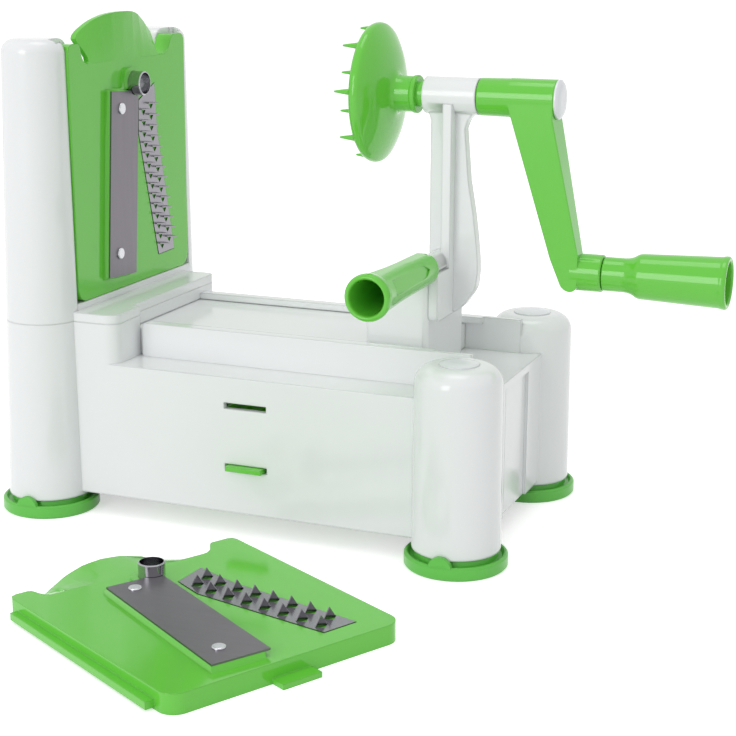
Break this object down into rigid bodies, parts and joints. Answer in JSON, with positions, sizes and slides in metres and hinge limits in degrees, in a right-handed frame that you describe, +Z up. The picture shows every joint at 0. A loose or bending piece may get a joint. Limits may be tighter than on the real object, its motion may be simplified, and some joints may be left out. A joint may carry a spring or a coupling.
{
  "type": "spiral vegetable slicer",
  "caption": "Hand cranked tabletop spiral slicer: a sliding carriage turns food on a spiked wheel against an upright blade plate; spare plates are kept in the base.",
  "frame": {"origin": "on the table, midway between the four suction feet", "axes": "+X from the blade tower to the crank knob, +Y to the back, +Z up"},
  "size_m": [0.3218, 0.3025, 0.2247],
  "materials": {
    "white_body": "gloss",
    "white_trim": "gloss",
    "green_body": "gloss",
    "green_rubber": "satin",
    "blade_steel": "brushed",
    "ring_steel": "polished",
    "stud_steel": "polished",
    "shaft_steel": "turned",
    "screw_steel": "zinc plated"
  },
  "bodies": {
    "base": {"base_shell": "white_body", "blade_tower": "white_body", "tower_screws": "screw_steel", "foot_front_left": "green_rubber", "foot_front_right": "green_rubber", "foot_back_left": "green_rubber", "foot_back_right": "green_rubber", "column_cap_front": "white_trim", "column_cap_back": "white_trim", "loose_plate": "green_body", "loose_straight_blade": "blade_steel", "loose_coring_ring": "ring_steel", "loose_blade_studs": "stud_steel", "loose_comb_blade": "blade_steel"},
    "carriage": {"carriage": "white_body", "crank_post": "white_body", "post_screws": "screw_steel", "side_handle": "green_body", "handle_screw": "screw_steel"},
    "crank": {"spiked_wheel": "green_body", "drive_shaft": "shaft_steel", "crank_screw": "screw_steel", "crank_arm": "green_body", "crank_cap": "white_trim", "knob_pin": "shaft_steel", "knob_clip": "screw_steel"},
    "knob": {"knob_grip": "green_body"},
    "installed_cassette": {"installed_plate": "green_body", "installed_straight_blade": "blade_steel", "installed_coring_ring": "ring_steel", "installed_blade_studs": "stud_steel", "installed_comb_blade": "blade_steel"},
    "stored_cassette": {"stored_plate": "green_body", "stored_straight_blade": "blade_steel", "stored_coring_ring": "ring_steel", "stored_blade_studs": "stud_steel"}
  },
  "joints": [
    {"name": "carriage_slide", "type": "slide", "parent": "base", "child": "carriage", "axis": [-1, 0, 0], "range_m": [-0.009, 0.108]},
    {"name": "crank_turn", "type": "hinge", "parent": "carriage", "child": "crank", "pos_m": [0.077, 0, 0.192], "axis": [1, 0, 0], "continuous": true},
    {"name": "knob_spin", "type": "hinge", "parent": "crank", "child": "knob", "pos_m": [0.17, 0, 0.1192], "axis": [1, 0, 0], "continuous": true},
    {"name": "installed_cassette_lift", "type": "slide", "parent": "base", "child": "installed_cassette", "axis": [0, 0, 1], "range_m": [0, 0.13]},
    {"name": "stored_cassette_pull", "type": "slide", "parent": "base", "child": "stored_cassette", "axis": [0, 1, 0], "range_m": [0, 0.11]}
  ]
}
